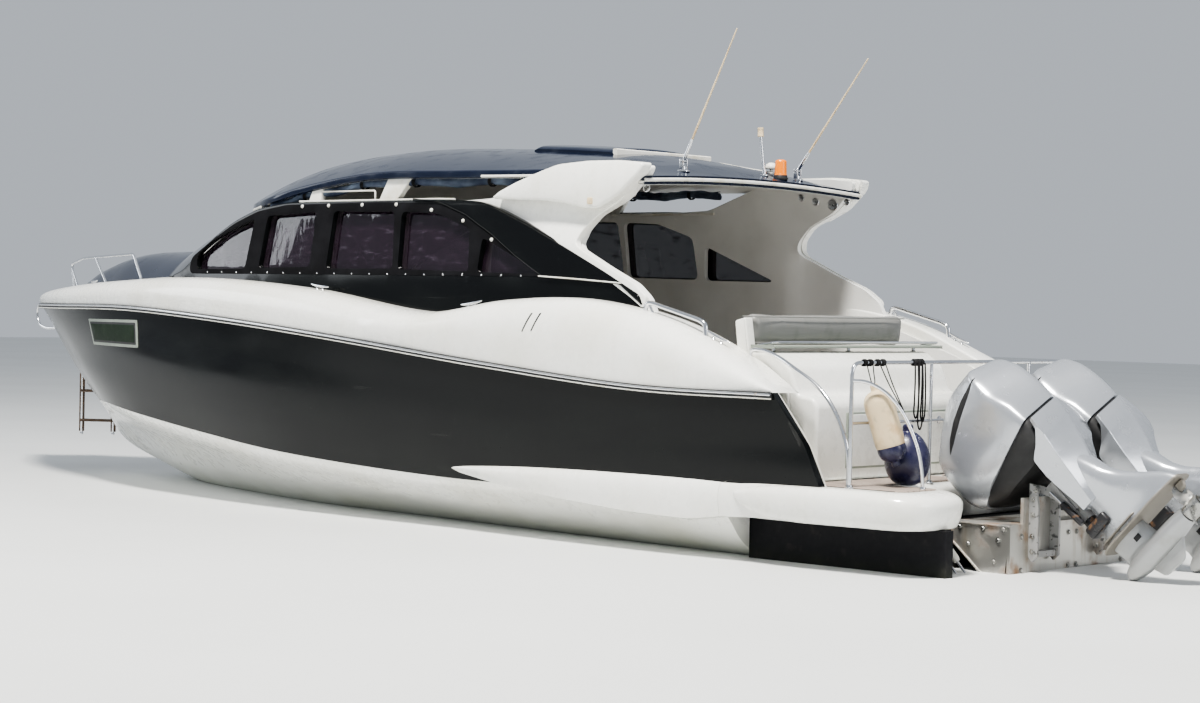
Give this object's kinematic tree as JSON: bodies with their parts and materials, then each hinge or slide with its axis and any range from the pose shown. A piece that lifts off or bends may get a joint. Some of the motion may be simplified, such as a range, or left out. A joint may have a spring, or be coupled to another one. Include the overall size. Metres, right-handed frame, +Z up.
{
  "type": "outboard cabin speedboat",
  "caption": "Planing cabin boat with a black and white hull, hardtop on swept wings, open cockpit, swim platform and tilted outboard engines on a stern bracket.",
  "frame": {"origin": "on the centreline at the waterline, midway along the boat", "axes": "+X towards the bow, +Y to port, +Z up; the waterline is z = 0"},
  "size_m": [12.9592, 3.5018, 4.1605],
  "materials": {
    "white_gelcoat": "glossy moulded gelcoat",
    "black_gelcoat": "glossy black gelcoat, lightly weathered",
    "bottom_paint": "matt bottom paint, stained",
    "navy_gelcoat": "glossy dark blue",
    "polished_steel": "polished stainless steel",
    "stained_steel": "stainless plate with rust stains",
    "clear_sheet": "clear vinyl sheet with a violet tint",
    "dark_glass": "dark tinted glass",
    "deck_boards": "grey-brown planked deck",
    "dark_plastic": "grained dark moulding",
    "grey_plastic": "satin grey",
    "grey_cushion": "grey upholstery, sewn",
    "cream_vinyl": "soft cream vinyl, scuffed",
    "navy_vinyl": "soft navy vinyl, scuffed",
    "dark_metal": "dark painted casting, rust stained",
    "silver_paint": "silver-white metallic paint",
    "brushed_metal": "worn stainless steel",
    "white_plastic": "glossy white",
    "orange_plastic": "translucent orange lens"
  },
  "bodies": {
    "hull": {"hull_bottom": "white_gelcoat", "topsides_port": "black_gelcoat", "topsides_starboard": "black_gelcoat", "swim_platform": "white_gelcoat", "stern_box": "bottom_paint", "sponson_port": "white_gelcoat", "sponson_starboard": "white_gelcoat", "deck_side_port": "white_gelcoat", "deck_side_starboard": "white_gelcoat", "foredeck": "white_gelcoat", "rub_rail": "polished_steel", "foredeck_trunk": "navy_gelcoat", "cabin_side_port": "black_gelcoat", "cabin_side_starboard": "black_gelcoat", "window_sheet_port": "clear_sheet", "window_sheet_starboard": "clear_sheet", "wing_port": "white_gelcoat", "wing_starboard": "white_gelcoat", "roof_fore": "navy_gelcoat", "roof_aft": "navy_gelcoat", "windscreen": "dark_glass", "roof_panel": "grey_plastic", "cabin_sole": "deck_boards", "dashboard": "dark_plastic", "helm_seat": "grey_cushion", "bench_port": "grey_cushion", "bench_starboard": "grey_cushion", "transom_locker": "white_gelcoat", "transom_seat": "grey_cushion", "stern_shelf": "grey_plastic", "ladder_bracket": "polished_steel", "stern_rail": "polished_steel", "boarding_rail": "polished_steel", "gunwale_rail_port": "polished_steel", "gunwale_rail_starboard": "polished_steel", "bow_rail_port": "polished_steel", "bow_rail_starboard": "polished_steel", "stern_fender": "cream_vinyl", "ball_fender": "navy_vinyl", "engine_bracket": "stained_steel", "clamp_bracket_port": "dark_metal", "clamp_bracket_starboard": "dark_metal", "antenna_mount_port": "polished_steel", "antenna_mount_starboard": "polished_steel", "light_pole": "white_plastic", "beacon": "orange_plastic", "gps_dome": "white_plastic"},
    "tilt_port": {"swivel_bracket_port": "dark_metal"},
    "steer_port": {"outboard_cowl_port": "silver_paint", "outboard_leg_port": "silver_paint"},
    "prop_port": {"propeller_port": "brushed_metal"},
    "tilt_starboard": {"swivel_bracket_starboard": "dark_metal"},
    "steer_starboard": {"outboard_cowl_starboard": "silver_paint", "outboard_leg_starboard": "silver_paint"},
    "prop_starboard": {"propeller_starboard": "brushed_metal"},
    "mast_port": {"antenna_port": "white_plastic"},
    "mast_starboard": {"antenna_starboard": "white_plastic"},
    "ladder": {"bow_ladder": "polished_steel"},
    "helm": {"steering_wheel": "dark_plastic"}
  },
  "joints": [
    {"name": "tilt_port", "type": "hinge", "parent": "hull", "child": "tilt_port", "pos_m": [-4.8, 0.4, 0.54], "axis": [0, 1, 0], "range_deg": [-47.5, 4]},
    {"name": "steer_port", "type": "hinge", "parent": "tilt_port", "child": "steer_port", "pos_m": [-4.8811, 0.4, 0.6285], "axis": [0.7373, 0, 0.6756], "range_deg": [-30, 30]},
    {"name": "prop_port", "type": "hinge", "parent": "steer_port", "child": "prop_port", "pos_m": [-5.8728, 0.4, 0.4526], "axis": [0.6756, 0, -0.7373], "continuous": true},
    {"name": "tilt_starboard", "type": "hinge", "parent": "hull", "child": "tilt_starboard", "pos_m": [-4.8, -0.4, 0.54], "axis": [0, 1, 0], "range_deg": [-47.5, 4]},
    {"name": "steer_starboard", "type": "hinge", "parent": "tilt_starboard", "child": "steer_starboard", "pos_m": [-4.8811, -0.4, 0.6285], "axis": [0.7373, 0, 0.6756], "range_deg": [-30, 30]},
    {"name": "prop_starboard", "type": "hinge", "parent": "steer_starboard", "child": "prop_starboard", "pos_m": [-5.8728, -0.4, 0.4526], "axis": [0.6756, 0, -0.7373], "continuous": true},
    {"name": "mast_port", "type": "hinge", "parent": "hull", "child": "mast_port", "pos_m": [-1.87, 0.67, 2.74], "axis": [0, 1, 0], "range_deg": [-55, 27]},
    {"name": "mast_starboard", "type": "hinge", "parent": "hull", "child": "mast_starboard", "pos_m": [-1.87, -0.67, 2.74], "axis": [0, 1, 0], "range_deg": [-45, 38]},
    {"name": "ladder_swing", "type": "hinge", "parent": "hull", "child": "ladder", "pos_m": [6.59, -0.39, 1.59], "axis": [-0.809, -0.5878, 0], "range_deg": [0, 60]},
    {"name": "helm_turn", "type": "hinge", "parent": "hull", "child": "helm", "pos_m": [2.29, -0.56, 1.49], "axis": [-0.866, 0, 0.5], "range_deg": [-360, 360]}
  ],
  "couplings": [
    {"joint": "steer_starboard", "follows": "steer_port", "ratio": 1},
    {"joint": "helm_turn", "follows": "steer_port", "ratio": -12}
  ]
}
